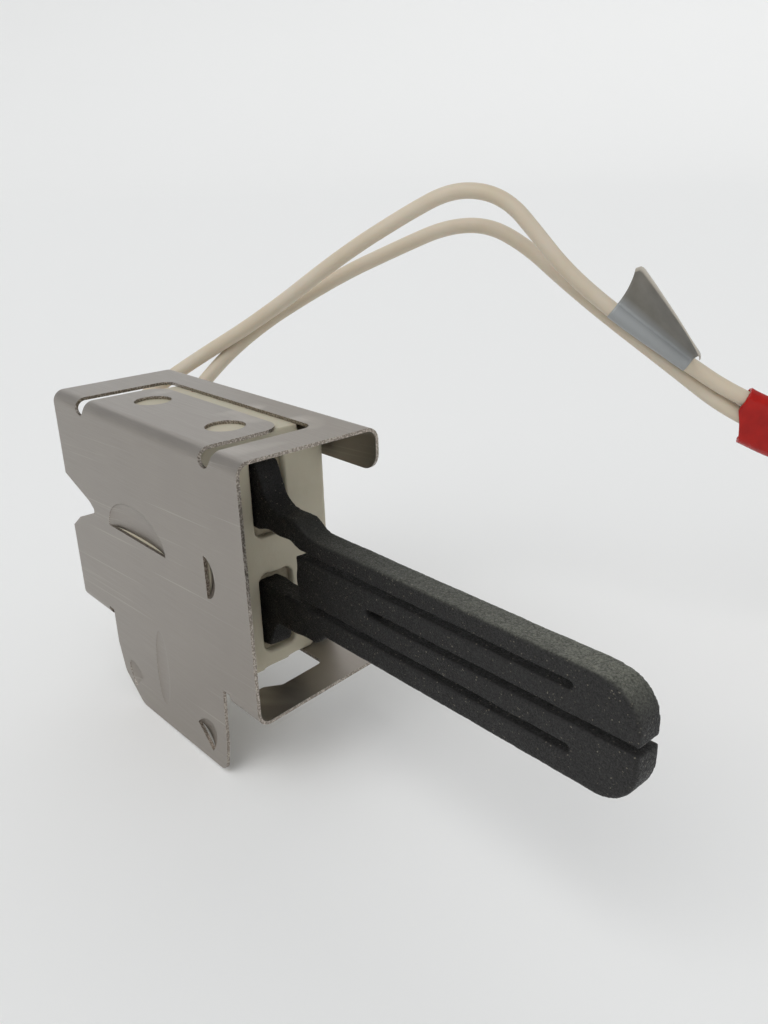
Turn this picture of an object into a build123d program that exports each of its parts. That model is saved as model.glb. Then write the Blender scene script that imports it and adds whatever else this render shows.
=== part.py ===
from build123d import *
from math import cos, pi, radians, tan
import os

# Hot-surface igniter: a slotted silicon-carbide element cemented into a ceramic block,
# the block held in a folded sheet-steel bracket, with two leads that end in a plug.
# +X runs along the element to its tip, -Y is the outward side of the bracket's plate.
# The origin is on the plate's outer face, in the middle of the mounting tail.

os.makedirs("parts", exist_ok=True)

# ---- driving dimensions, millimetres ----
# bracket
sheet = 0.45
rear_x = -25.6
bracket_length = 49.0
top_z = 41.5
bracket_height = 34.0
bracket_depth = 20.5
lip_height = 5.9
floor_depth = 20.0
floor_tilt = 5.4
fold_radius = 1.5
tail_left_x = -15.3
tail_right_x = 15.5
tail_bottom_z = -4.4
relief = 1.5
tail_side_top_z = 10.5
window_near_y = 1.0
window_step_y = 5.0
window_wide_y = 7.0
window_far_y = 13.7
window_corner = 0.9
lip_corner = 2.5
tab_left_x = -15.6
tab_right_x = 15.2
tab_depth = 12.4
tab_corner = 3.0
slot_gap = 2.6
slot_near_y = 0.8
slot_corner = 1.6
slot_end_z = 39.4
tab_hole_radius = 2.55
tab_hole_xs = (-9.0, 9.6)
tab_hole_y = 7.5
# ceramic block
block_rear_x = -16.2
block_front_x = 14.05
block_depth = 19.2
shoulder_y = 15.3
shoulder_drop = 1.1
shoulder_slope = 0.7
block_corner = 1.4
bump_clearance = 0.25
# element
element_near_y = 8.15
element_thickness = 3.15
leg_rear_x = -6.0
upper_foot_z = (28.8, 37.5)
lower_foot_z = (12.1, 21.3)
blade_top_z = 30.6
blade_bottom_z = 18.3
tip_x = 69.6
tip_radius = 4.2
slot_width = 0.8
outer_slot_zs = (21.4, 28.0)
centre_slot_z = 24.7
strip_base_x = 21.7
outer_slot_end_x = 62.6
centre_slot_start_x = 34.4
# wells, chambers and cement
chamber_near_y = 4.6
well_near_y = 7.8
well_far_y = 12.7
upper_well_z = (27.4, 38.2)
lower_well_z = (11.1, 22.3)
chamber_rear_x = -12.3
well_rear_x = 8.0
well_corner = 0.9
cement_front_x = 13.3
# terminals and leads
lead_diameter = 2.4
strand_radius = 0.6
lead_y = 6.8
lead_a_z = 31.5
lead_b_z = 18.5
lead_start_x = -11.3
bare_gap = 1.0
barrel_radius = 1.2
barrel_length = 4.5
strip_overlap = 2.0
strip_front_x = 1.0
strip_width = 3.0
strip_near_y = 7.6
pad_length = 6.0
pad_width = 4.6
pad_thickness = 0.15
# label, sleeve and plug
label_length = 14.0
label_height = 7.0
label_clearance = 0.13
film_thickness = 0.13
sleeve_length = 11.5
sleeve_inner_depth = 3.3
sleeve_wall = 0.45
plug_rear_x = 88.0
plug_length = 17.0
plug_width = 11.0
plug_height = 8.0
plug_y = 95.0
plug_corner = 0.8
pin_pitch = 5.0
pin_radius = 1.0
pin_setback = 1.5
pin_clearance = 0.05
pin_corner = 0.4
rib_xs = (2.0, 3.6, 5.2)
rib_width = 0.7
rib_height = 0.35
barrel_wall_length = 6.0
socket_width = 3.6
socket_height = 5.2
latch_width = 3.2
latch_height = 1.2
lead_end_x = 91.0

# ---- worked out from them ----
front_x = rear_x + bracket_length
base_z = top_z - bracket_height
half_sheet = sheet / 2
through = 3.0
tilt_rise = tan(radians(floor_tilt))
plug_z = tail_bottom_z + plug_height / 2
lead_radius = lead_diameter / 2
well_depth = well_far_y - well_near_y
chamber_depth = well_far_y - chamber_near_y


def floor_surface_z(y):
    """Height of the bottom flange's upper face at depth y."""
    return base_z + half_sheet + (y - half_sheet) * tilt_rise + half_sheet / cos(radians(floor_tilt))


# ---- bracket: one stamped and folded part ----
lip_middle_y = bracket_depth - half_sheet
tail_middle_x = (tail_left_x + tail_right_x) / 2
half_slot = 2.0
tail_width = tail_right_x - tail_left_x

with BuildPart() as bracket:
    # channel section: lip, top flange, plate, tilted bottom flange
    with BuildSketch(Plane.YZ.offset(rear_x)):
        with BuildLine():
            FilletPolyline(
                (lip_middle_y, top_z - lip_height),
                (lip_middle_y, top_z - half_sheet),
                (half_sheet, top_z - half_sheet),
                (half_sheet, base_z + half_sheet),
                (floor_depth, base_z + half_sheet + (floor_depth - half_sheet) * tilt_rise),
                radius=fold_radius,
            )
        trace(line_width=sheet)
    extrude(amount=bracket_length)

    # window that the tail is cut from, and the reliefs beside the tail
    with BuildSketch(Plane.XY.offset(base_z - through)):
        with BuildLine():
            FilletPolyline(
                (tail_left_x - relief, window_near_y),
                (tail_right_x + relief, window_near_y),
                (tail_right_x + relief, window_step_y),
                (tail_right_x + 2 * relief, window_wide_y),
                (tail_right_x + 2 * relief, window_far_y),
                (tail_left_x - 2 * relief, window_far_y),
                (tail_left_x - 2 * relief, window_wide_y),
                (tail_left_x - relief, window_step_y),
                radius=window_corner,
                close=True,
            )
        make_face()
    extrude(amount=2 * through, mode=Mode.SUBTRACT)
    with BuildSketch(Plane.XZ.offset(through)):
        with Locations((tail_middle_x, base_z)):
            Rectangle(tail_width + 2 * relief, 2 * (fold_radius + sheet))
    extrude(amount=-2 * through, mode=Mode.SUBTRACT)

    # flat tail below the plate, with rounded lower corners
    with BuildSketch(Plane.XZ):
        with BuildLine():
            FilletPolyline(
                (tail_left_x, tail_side_top_z),
                (tail_left_x, 4.0),
                (tail_left_x + 1.2, -0.6),
                (tail_left_x + 6.0, tail_bottom_z),
                (tail_right_x - 1.4, tail_bottom_z + 0.6),
                (tail_right_x - 0.5, 1.0),
                (tail_right_x, tail_side_top_z),
                radius=[2.0, 2.0, 2.5, 1.6, 1.5],
                close=False,
            )
            Line((tail_right_x, tail_side_top_z), (tail_left_x, tail_side_top_z))
        make_face()
    extrude(amount=-sheet)

    # V notch in the plate's rear edge
    with BuildSketch(Plane.XZ.offset(through)):
        with BuildLine():
            notch = FilletPolyline(
                (rear_x - 4, 30.2),
                (rear_x, 28.9),
                (-18.1, 26.2),
                (-16.4, 24.9),
                (-22.6, 22.5),
                (rear_x, 20.4),
                (rear_x - 4, 20.4),
                radius=[1.2, 2.5, 0.5, 2.0, 1.4],
            )
            Line(notch @ 1, notch @ 0)
        make_face()
    extrude(amount=-2 * through, mode=Mode.SUBTRACT)

    # U slot that frees the spring tab in the top flange, wrapped over the fold
    with BuildSketch(Plane.XY.offset(top_z - fold_radius - sheet)):
        with BuildLine():
            outer = FilletPolyline(
                (tab_left_x - slot_gap, slot_near_y),
                (tab_left_x - slot_gap, tab_depth + slot_gap),
                (tab_right_x + slot_gap, tab_depth + slot_gap),
                (tab_right_x + slot_gap, slot_near_y),
                radius=slot_corner,
            )
            inner = FilletPolyline(
                (tab_right_x, slot_near_y),
                (tab_right_x, tab_depth),
                (tab_left_x, tab_depth),
                (tab_left_x, slot_near_y),
                radius=tab_corner,
            )
            Line(outer @ 1, inner @ 0)
            Line(inner @ 1, outer @ 0)
        make_face()
    extrude(amount=through, mode=Mode.SUBTRACT)
    with BuildSketch(Plane.XZ.offset(through)):
        for slot_x in (tab_left_x - slot_gap / 2, tab_right_x + slot_gap / 2):
            with Locations((slot_x, slot_end_z + slot_gap / 2 + half_slot)):
                SlotCenterToCenter(2 * half_slot, slot_gap, rotation=90)
    extrude(amount=-through - slot_near_y, mode=Mode.SUBTRACT)
    with BuildSketch(Plane.XY.offset(top_z)):
        with Locations(*[(x, tab_hole_y) for x in tab_hole_xs]):
            Circle(tab_hole_radius)
    extrude(amount=-through, mode=Mode.SUBTRACT)

    # front lower corner of the lip
    corner_z = top_z - lip_height
    with BuildSketch(Plane.XZ.offset(-bracket_depth - through)):
        with BuildLine():
            arc = JernArc((front_x, corner_z + lip_corner), (0, -1), lip_corner, -90)
            Line(arc @ 1, (front_x - lip_corner, corner_z - 1))
            Line((front_x - lip_corner, corner_z - 1), (front_x + 1, corner_z - 1))
            Line((front_x + 1, corner_z - 1), (front_x + 1, corner_z + lip_corner))
            Line((front_x + 1, corner_z + lip_corner), arc @ 0)
        make_face()
    extrude(amount=2 * through, mode=Mode.SUBTRACT)


# Lanced bumps pressed inwards: each is half of a flattened dome, sheared along its flat
# edge. (centre x, centre z, half width, depth, height, turn in degrees of the sheared edge)
holder_lance = (-4.0, 24.2, 8.6, 1.35, 5.4, 0)
stop_lance = (14.15, 24.9, 3.3, 1.3, 2.6, 90)
tail_lance_front = (9.4, -0.6, 2.7, 1.2, 4.4, 43)
tail_lance_rear = (-9.5, -0.6, 2.5, 1.1, 4.0, -43)
lances = (holder_lance, stop_lance, tail_lance_front, tail_lance_rear)
# Shallow stiffening dart pressed inwards down the plate and the tail, not sheared.
dart = (-1.0, 5.4, 1.8, 0.22, 6.2, 5)


def dome(bump, grow=0.0, y=0.0):
    """Solid flattened ellipsoid centred on the plate at depth y."""
    x, z, half_width, depth, height, turn = bump
    size = (half_width + grow, depth + grow, height + grow)
    ball = scale(Sphere(1, mode=Mode.PRIVATE), by=size, mode=Mode.PRIVATE)
    return Pos(x, y, z) * Rot(0, turn, 0) * ball


def half_dome(lance, grow=0.0):
    """The half of a dome that lies behind the plate, on one side of the sheared edge."""
    x, z, turn = lance[0], lance[1], lance[5]
    keep = Box(40, 20, 20, align=(Align.CENTER, Align.MIN, Align.MIN), mode=Mode.PRIVATE)
    return dome(lance, grow) & (Pos(x, 0, z) * Rot(0, turn, 0) * keep)


with BuildPart() as formed:
    add(bracket.part)
    for lance in lances:
        add(half_dome(lance), mode=Mode.SUBTRACT)
    for lance in lances:
        add(half_dome(lance) - half_dome(lance, grow=-sheet))
    add(dome(dart, y=sheet))
    add(dome(dart), mode=Mode.SUBTRACT)
formed.part.label = "bracket"
export_step(formed.part, "parts/bracket.step")


# ---- ceramic block: pressed steatite, open chambers for the legs ----
with BuildPart() as ceramic_holder:
    with BuildSketch(Plane.YZ.offset(block_rear_x)):
        with BuildLine():
            block_top_z = top_z - sheet
            Polyline(
                (sheet, block_top_z - block_corner),
                (sheet, floor_surface_z(sheet) + block_corner),
                (sheet + block_corner, floor_surface_z(sheet + block_corner)),
                (shoulder_y, floor_surface_z(shoulder_y)),
                (shoulder_y + shoulder_slope, floor_surface_z(shoulder_y) + shoulder_drop),
                (block_depth, floor_surface_z(block_depth) + shoulder_drop),
                (block_depth, block_top_z - shoulder_drop),
                (shoulder_y, block_top_z - shoulder_drop),
                (shoulder_y, block_top_z),
                (sheet + block_corner, block_top_z),
                close=True,
            )
        make_face()
    extrude(amount=block_front_x - block_rear_x)
    chamfer(ceramic_holder.edges().filter_by(Axis.Z).group_by(Axis.Y)[-1], 0.5)
    for low_z, high_z in (upper_well_z, lower_well_z):
        # front well round the leg
        with BuildSketch(Plane.YZ.offset(well_rear_x)):
            with Locations(((well_near_y + well_far_y) / 2, (low_z + high_z) / 2)):
                RectangleRounded(well_depth, high_z - low_z, well_corner)
        extrude(amount=block_front_x - well_rear_x, mode=Mode.SUBTRACT)
        # wider chamber for the joint between leg, terminal and lead
        with BuildSketch(Plane.YZ.offset(block_rear_x)):
            with Locations(((chamber_near_y + well_far_y) / 2, (low_z + high_z) / 2)):
                RectangleRounded(chamber_depth, high_z - low_z, well_corner)
        extrude(amount=well_rear_x - block_rear_x, mode=Mode.SUBTRACT)
    # recesses for the bumps, with room round them
    add(half_dome(holder_lance, grow=bump_clearance), mode=Mode.SUBTRACT)
    add(dome(dart, grow=bump_clearance, y=sheet), mode=Mode.SUBTRACT)
ceramic_holder.part.label = "ceramic_holder"
export_step(ceramic_holder.part, "parts/ceramic_holder.step")


# ---- silicon-carbide element: one plate, slotted so that the current runs along it four times ----
with BuildPart() as silicon_carbide_element:
    with BuildSketch(Plane.XZ.offset(-element_near_y)):
        with BuildLine():
            upper_foot = (leg_rear_x, upper_foot_z[1])
            Line(upper_foot, (14.4, upper_foot_z[1]))
            Spline(
                (14.4, upper_foot_z[1]),
                (16.0, 34.3),
                (18.6, 32.2),
                (22.2, 32.0),
                (27.0, blade_top_z),
                tangents=[(1, -0.6), (1, 0)],
            )
            FilletPolyline(
                (27.0, blade_top_z),
                (tip_x, blade_top_z),
                (tip_x, blade_bottom_z),
                (26.6, blade_bottom_z),
                radius=tip_radius,
            )
            FilletPolyline(
                (26.6, blade_bottom_z),
                (24.8, 16.7),
                (16.4, 16.2),
                (14.6, lower_foot_z[0]),
                (leg_rear_x, lower_foot_z[0]),
                radius=[1.1, 2.0, 0.8],
            )
            Polyline(
                (leg_rear_x, lower_foot_z[0]),
                (leg_rear_x, lower_foot_z[1]),
                (14.0, lower_foot_z[1]),
                (strip_base_x + 1, outer_slot_zs[0] - slot_width / 2),
                (strip_base_x + 1, outer_slot_zs[0] + slot_width / 2),
                (strip_base_x, outer_slot_zs[0] + slot_width / 2),
                (strip_base_x, outer_slot_zs[1] - slot_width / 2),
                (strip_base_x + 1, outer_slot_zs[1] - slot_width / 2),
                (strip_base_x + 1, outer_slot_zs[1] + slot_width / 2),
                (21.0, 29.1),
                (16.0, 29.3),
                (14.0, upper_foot_z[0]),
                (leg_rear_x, upper_foot_z[0]),
                upper_foot,
            )
        make_face()
        outer_slot_length = outer_slot_end_x - strip_base_x
        with Locations(*[(strip_base_x + outer_slot_length / 2, z) for z in outer_slot_zs]):
            SlotOverall(outer_slot_length, slot_width, mode=Mode.SUBTRACT)
        with Locations((centre_slot_start_x, centre_slot_z)):
            SlotOverall(2 * (tip_x - centre_slot_start_x), slot_width, align=(Align.MIN, Align.CENTER),
                        mode=Mode.SUBTRACT)
    extrude(amount=-element_thickness)
silicon_carbide_element.part.label = "silicon_carbide_element"
export_step(silicon_carbide_element.part, "parts/silicon_carbide_element.step")


# ---- cement round each leg in its front well ----
for name, well_z, foot_z in (
    ("front_cement_upper", upper_well_z, upper_foot_z),
    ("front_cement_lower", lower_well_z, lower_foot_z),
):
    with BuildPart() as front_cement:
        with BuildSketch(Plane.YZ.offset(well_rear_x)):
            with Locations(((well_near_y + well_far_y) / 2, sum(well_z) / 2)):
                RectangleRounded(well_depth, well_z[1] - well_z[0], well_corner)
            with Locations((element_near_y + element_thickness / 2, sum(foot_z) / 2)):
                Rectangle(element_thickness, foot_z[1] - foot_z[0], mode=Mode.SUBTRACT)
        extrude(amount=cement_front_x - well_rear_x)
    front_cement.part.label = name
    export_step(front_cement.part, f"parts/{name}.step")


# ---- electrical joint in each chamber: pad on the leg, crimp terminal, bare strands ----
barrel_rear_x = lead_start_x + bare_gap
barrel_front_x = barrel_rear_x + barrel_length
for side, joint_z in (("upper", lead_a_z), ("lower", lead_b_z)):
    with BuildPart() as contact_pad:
        with BuildSketch(Plane.XZ.offset(-element_near_y)):
            with Locations((strip_front_x, joint_z)):
                Rectangle(pad_length, pad_width, align=(Align.MAX, Align.CENTER))
        extrude(amount=pad_thickness)
    contact_pad.part.label = f"contact_pad_{side}"
    export_step(contact_pad.part, f"parts/contact_pad_{side}.step")

    with BuildPart() as terminal:
        with BuildSketch(Plane.XZ.offset(-strip_near_y)):
            with Locations((strip_front_x, joint_z)):
                strip_length = strip_front_x - barrel_front_x + strip_overlap
                Rectangle(strip_length, strip_width, align=(Align.MAX, Align.CENTER))
        extrude(amount=-(element_near_y - pad_thickness - strip_near_y))
        with BuildSketch(Plane.YZ.offset(barrel_rear_x)):
            with Locations((lead_y, joint_z)):
                Circle(barrel_radius)
        extrude(amount=barrel_length)
        with BuildSketch(Plane.YZ.offset(barrel_rear_x)):
            with Locations((lead_y, joint_z)):
                Circle(strand_radius)
        extrude(amount=barrel_length + strip_overlap, mode=Mode.SUBTRACT)
    terminal.part.label = f"crimp_terminal_{side}"
    export_step(terminal.part, f"parts/crimp_terminal_{side}.step")

    with BuildPart() as strands:
        with BuildSketch(Plane.YZ.offset(lead_start_x)):
            with Locations((lead_y, joint_z)):
                Circle(strand_radius)
        extrude(amount=bare_gap + barrel_length)
    strands.part.label = f"bare_strands_{side}"
    export_step(strands.part, f"parts/bare_strands_{side}.step")


# ---- cement plugs that close the chambers at the rear, one round each lead ----
for side, well_z, joint_z in (("upper", upper_well_z, lead_a_z), ("lower", lower_well_z, lead_b_z)):
    with BuildPart() as rear_cement:
        with BuildSketch(Plane.YZ.offset(block_rear_x)):
            with Locations(((chamber_near_y + well_far_y) / 2, sum(well_z) / 2)):
                RectangleRounded(chamber_depth, well_z[1] - well_z[0], well_corner)
            with Locations((lead_y, joint_z)):
                Circle(lead_radius, mode=Mode.SUBTRACT)
        extrude(amount=chamber_rear_x - block_rear_x)
    rear_cement.part.label = f"rear_cement_{side}"
    export_step(rear_cement.part, f"parts/rear_cement_{side}.step")


# ---- the two leads: straight runs joined by tangent arcs ----
lead_a_route = [
    (lead_start_x, lead_y, lead_a_z),
    (-20.5, lead_y, lead_a_z),
    (-29.5, 10.5, 32.0),
    (-39.0, 18.5, 33.4),
    (-38.3, 29.0, 38.6),
    (-24.5, 37.2, 47.6),
    (-12.0, 44.8, 57.8),
    (-3.5, 51.6, 64.0),
    (1.2, 55.4, 66.9),
    (5.6, 58.5, 66.9),
    (9.4, 60.6, 64.9),
    (12.6, 62.2, 61.0),
    (17.0, 64.6, 55.2),
    (23.4, 68.3, 49.2),
    (31.0, 73.0, 43.3),
    (39.9, 78.3, 36.6),
    (51.9, 86.9, 31.6),
    (62.0, 92.0, 22.0),
    (68.8, 95.5, 10.0),
    (78.5, plug_y + pin_pitch / 2, plug_z),
    (lead_end_x, plug_y + pin_pitch / 2, plug_z),
]
lead_b_route = [
    (lead_start_x, lead_y, lead_b_z),
    (-18.9, lead_y, lead_b_z),
    (-25.8, 10.8, 19.6),
    (-33.5, 18.5, 24.3),
    (-36.5, 27.5, 32.8),
    (-30.5, 36.8, 43.8),
    (-17.5, 46.8, 53.4),
    (-9.5, 55.5, 58.4),
    (-5.0, 61.3, 61.2),
    (0.5, 65.3, 61.4),
    (7.0, 67.2, 58.2),
    (14.2, 68.0, 53.2),
    (21.3, 69.9, 48.1),
    (29.4, 74.8, 41.2),
    (39.2, 78.7, 33.8),
    (51.7, 87.2, 28.3),
    (61.5, 89.0, 18.5),
    (68.6, 91.0, 7.5),
    (78.5, plug_y - pin_pitch / 2, plug_z),
    (lead_end_x, plug_y - pin_pitch / 2, plug_z),
]


def bend_radii(route):
    """Arc radius at each inner point: as large as the two runs beside it allow."""
    points = [Vector(*point) for point in route]
    radii = []
    for before, here, after in zip(points, points[1:], points[2:]):
        turn = (here - before).get_angle(after - here)
        shorter = min((here - before).length, (after - here).length)
        radii.append(0.45 * shorter / tan(radians(turn) / 2))
    return radii


for name, route in (("lead_a", lead_a_route), ("lead_b", lead_b_route)):
    radii = bend_radii(route)
    with BuildPart() as lead:
        with BuildLine() as path:
            FilletPolyline(*route, radius=radii)
        with BuildSketch(Plane(origin=path.wires()[0] @ 0, z_dir=path.wires()[0] % 0)):
            Circle(lead_radius)
        sweep(path=path.wires()[0])
    path_length = path.wires()[0].length
    print(name, "bend radii:", [round(radius, 1) for radius in radii])
    print(name, "length:", round(path_length, 1), "volume:", round(lead.part.volume, 1),
          "section x length:", round(pi * lead_radius**2 * path_length, 1))
    lead.part.label = name
    export_step(lead.part, f"parts/{name}.step")


# ---- blank flag label wrapped round lead A ----
def along(route, index, share):
    """Point on one run of a route, and the run's direction."""
    start = Vector(*route[index])
    run = Vector(*route[index + 1]) - start
    return start + run * share, run.normalized()


label_run = 13
label_start, _ = along(lead_a_route, label_run, 0.05)
label_end, _ = along(lead_a_route, label_run + 1, 0.34)
label_up = Vector(0.16, 0.64, 0.75)
label_plane = Plane(origin=label_start, x_dir=label_up, z_dir=label_end - label_start)
wrap_inner = lead_radius + label_clearance
wrap_outer = wrap_inner + film_thickness
with BuildPart() as flag_label:
    with BuildSketch(label_plane):
        Circle(wrap_outer)
        with Locations((wrap_inner, 0)):
            Rectangle(label_height, 2 * film_thickness, align=(Align.MIN, Align.CENTER))
        Circle(wrap_inner, mode=Mode.SUBTRACT)
    extrude(amount=label_length)
flag_label.part.label = "flag_label"
export_step(flag_label.part, "parts/flag_label.step")


# ---- shrink sleeve that ties the two leads together ----
sleeve_run = 15
sleeve_shares = (0.03, 0.75)
start_a, end_a = (along(lead_a_route, sleeve_run, share)[0] for share in sleeve_shares)
start_b, end_b = (along(lead_b_route, sleeve_run - 1, share)[0] for share in sleeve_shares)
sleeve_axis = ((end_a + end_b) * 0.5 - (start_a + start_b) * 0.5).normalized()
pair_offset = ((start_a - start_b) + (end_a - end_b)) * 0.5
sleeve_plane = Plane(origin=(start_a + start_b) * 0.5, x_dir=pair_offset, z_dir=sleeve_axis)
with BuildPart() as shrink_sleeve:
    with BuildSketch(sleeve_plane):
        SlotCenterToCenter(pair_offset.length, sleeve_inner_depth + 2 * sleeve_wall)
        SlotCenterToCenter(pair_offset.length, sleeve_inner_depth, mode=Mode.SUBTRACT)
    extrude(amount=sleeve_length)
shrink_sleeve.part.label = "shrink_sleeve"
export_step(shrink_sleeve.part, "parts/shrink_sleeve.step")


# ---- two-way plug: housing, contacts and the crimped strands ----
pin_rear_x = lead_end_x + pin_setback
pin_front_x = plug_rear_x + plug_length - pin_setback
crimp_front_x = lead_end_x + barrel_wall_length
crimp_depth = 4.0
lead_ys = (plug_y + pin_pitch / 2, plug_y - pin_pitch / 2)
lead_places = [(y, plug_z) for y in lead_ys]
with BuildPart() as plug_housing:
    with Locations((plug_rear_x, plug_y, tail_bottom_z)):
        Box(plug_length, plug_width, plug_height, align=(Align.MIN, Align.CENTER, Align.MIN))
    fillet(plug_housing.edges().filter_by(Axis.X), plug_corner)
    # lead entries, pin holes and the two mouths that shroud the pins
    with BuildSketch(Plane.YZ.offset(plug_rear_x)):
        with Locations(*lead_places):
            Circle(lead_radius)
    extrude(amount=lead_end_x - plug_rear_x, mode=Mode.SUBTRACT)
    with BuildSketch(Plane.YZ.offset(lead_end_x)):
        with Locations(*lead_places):
            Circle(pin_radius + pin_clearance)
    extrude(amount=barrel_wall_length, mode=Mode.SUBTRACT)
    with BuildSketch(Plane.YZ.offset(crimp_front_x)):
        with Locations(*lead_places):
            RectangleRounded(socket_width, socket_height, pin_corner)
    extrude(amount=plug_length, mode=Mode.SUBTRACT)
    # latch ramp on top
    with BuildSketch(Plane.XZ.offset(-plug_y + latch_width / 2)):
        with BuildLine():
            latch_x = plug_rear_x + 7
            latch_z = tail_bottom_z + plug_height
            Polyline(
                (latch_x, latch_z),
                (latch_x, latch_z + latch_height),
                (latch_x + 1, latch_z + latch_height),
                (latch_x + 5, latch_z),
                close=True,
            )
        make_face()
    extrude(amount=-latch_width)
    # finger ribs across the sides, behind the latch
    for side in (-1, 1):
        with Locations(*[(plug_rear_x + x, plug_y + side * plug_width / 2, plug_z) for x in rib_xs]):
            Box(rib_width, 2 * rib_height, plug_height - 3, mode=Mode.ADD)
plug_housing.part.label = "plug_housing"
export_step(plug_housing.part, "parts/plug_housing.step")

for side, y in zip(("a", "b"), lead_ys):
    with BuildPart() as plug_contact:
        with BuildSketch(Plane.YZ.offset(pin_rear_x)):
            with Locations((y, plug_z)):
                Circle(pin_radius)
        extrude(amount=pin_front_x - pin_rear_x)
        fillet(plug_contact.faces().sort_by(Axis.X)[-1].edges(), pin_corner)
        with BuildSketch(Plane.YZ.offset(pin_rear_x)):
            with Locations((y, plug_z)):
                Circle(strand_radius)
        extrude(amount=crimp_depth, mode=Mode.SUBTRACT)
    plug_contact.part.label = f"plug_contact_{side}"
    export_step(plug_contact.part, f"parts/plug_contact_{side}.step")

    with BuildPart() as plug_strands:
        with BuildSketch(Plane.YZ.offset(lead_end_x)):
            with Locations((y, plug_z)):
                Circle(strand_radius)
        extrude(amount=pin_setback + crimp_depth)
    plug_strands.part.label = f"plug_strands_{side}"
    export_step(plug_strands.part, f"parts/plug_strands_{side}.step")
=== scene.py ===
import math

import bmesh
import bpy
from mathutils import Matrix, Vector, noise
from mathutils.bvhtree import BVHTree


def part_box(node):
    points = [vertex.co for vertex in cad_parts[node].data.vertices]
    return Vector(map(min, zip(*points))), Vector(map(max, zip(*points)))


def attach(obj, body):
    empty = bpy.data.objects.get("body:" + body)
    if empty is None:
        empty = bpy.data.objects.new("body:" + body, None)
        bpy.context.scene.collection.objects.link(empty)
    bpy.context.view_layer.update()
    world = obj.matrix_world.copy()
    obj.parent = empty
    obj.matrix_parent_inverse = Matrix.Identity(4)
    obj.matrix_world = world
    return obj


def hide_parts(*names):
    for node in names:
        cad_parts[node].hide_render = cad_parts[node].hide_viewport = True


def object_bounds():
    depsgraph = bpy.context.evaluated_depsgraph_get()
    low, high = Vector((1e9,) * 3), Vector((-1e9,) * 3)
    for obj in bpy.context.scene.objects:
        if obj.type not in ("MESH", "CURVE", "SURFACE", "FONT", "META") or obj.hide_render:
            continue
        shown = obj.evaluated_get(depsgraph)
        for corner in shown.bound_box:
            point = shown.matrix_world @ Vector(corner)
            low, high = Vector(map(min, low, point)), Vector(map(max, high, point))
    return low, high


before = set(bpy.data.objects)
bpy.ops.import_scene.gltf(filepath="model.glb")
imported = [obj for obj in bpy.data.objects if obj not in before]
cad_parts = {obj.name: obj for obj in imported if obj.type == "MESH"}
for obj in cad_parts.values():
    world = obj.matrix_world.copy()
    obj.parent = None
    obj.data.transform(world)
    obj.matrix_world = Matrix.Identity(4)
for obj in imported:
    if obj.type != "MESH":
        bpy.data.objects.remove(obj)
cad_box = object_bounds()

# Hot-surface igniter: a slotted silicon-carbide element cemented into a ceramic block, the
# block gripped by a stamped steel bracket, with two leads that end in a two-way plug.
# +X runs along the element to its tip, -Y is the outward side of the bracket's plate, and
# z = 0 is the middle of the mounting tail. Everything is in metres.

# ---- camera ----
# A close, slightly raised three-quarter view from in front of the plate, past the tip. The lens
# is moderately wide, so the near tip looks large beside the block.
camera_data = bpy.data.cameras.new("camera")
camera_data.lens = 31.05
camera_data.clip_start = 0.005
camera = bpy.data.objects.new("camera", camera_data)
camera.location = (0.10195, -0.04718, 0.07102)
camera.rotation_euler = [math.radians(angle) for angle in (68.49, 1.59, 48.39)]
bpy.context.scene.collection.objects.link(camera)
bpy.context.scene.camera = camera


# ---- leads ----
# Two loose leads of 18-gauge stranded wire in extruded silicone rubber. They are cemented
# into the block's rear, turn over behind it, stand in a stiff arch and come down to the plug.
MM = 0.001
lead_diameter = 2.4 * MM
lead_routes = {
    "a": [
        (-0.0113, 0.0068, 0.0315),
        (-0.0205, 0.0068, 0.0315),
        (-0.0295, 0.0105, 0.0320),
        (-0.0390, 0.0185, 0.0334),
        (-0.0383, 0.0290, 0.0386),
        (-0.0245, 0.0372, 0.0476),
        (-0.0120, 0.0448, 0.0578),
        (-0.0035, 0.0516, 0.0640),
        (0.0012, 0.0554, 0.0669),
        (0.0056, 0.0585, 0.0669),
        (0.0094, 0.0606, 0.0649),
        (0.0126, 0.0622, 0.0610),
        (0.0170, 0.0646, 0.0552),
        (0.0234, 0.0683, 0.0492),
        (0.0310, 0.0730, 0.0433),
        (0.0399, 0.0783, 0.0366),
        (0.0519, 0.0869, 0.0316),
        (0.0620, 0.0920, 0.0220),
        (0.0688, 0.0955, 0.0100),
        (0.0785, 0.0975, -0.0004),
        (0.0910, 0.0975, -0.0004),
    ],
    "b": [
        (-0.0113, 0.0068, 0.0185),
        (-0.0189, 0.0068, 0.0185),
        (-0.0258, 0.0108, 0.0196),
        (-0.0335, 0.0185, 0.0243),
        (-0.0365, 0.0275, 0.0328),
        (-0.0305, 0.0368, 0.0438),
        (-0.0175, 0.0468, 0.0534),
        (-0.0095, 0.0555, 0.0584),
        (-0.0050, 0.0613, 0.0612),
        (0.0005, 0.0653, 0.0614),
        (0.0070, 0.0672, 0.0582),
        (0.0142, 0.0680, 0.0532),
        (0.0213, 0.0699, 0.0481),
        (0.0294, 0.0748, 0.0412),
        (0.0392, 0.0787, 0.0338),
        (0.0517, 0.0872, 0.0283),
        (0.0615, 0.0890, 0.0185),
        (0.0686, 0.0910, 0.0075),
        (0.0785, 0.0925, -0.0004),
        (0.0910, 0.0925, -0.0004),
    ],
}


def linear(hex_colour):
    """An sRGB hex colour as the linear RGBA that Blender's sockets take."""
    channels = [int(hex_colour[i:i + 2], 16) / 255 for i in (0, 2, 4)]
    return (*(c / 12.92 if c <= 0.04045 else ((c + 0.055) / 1.055) ** 2.4 for c in channels), 1.0)


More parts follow.
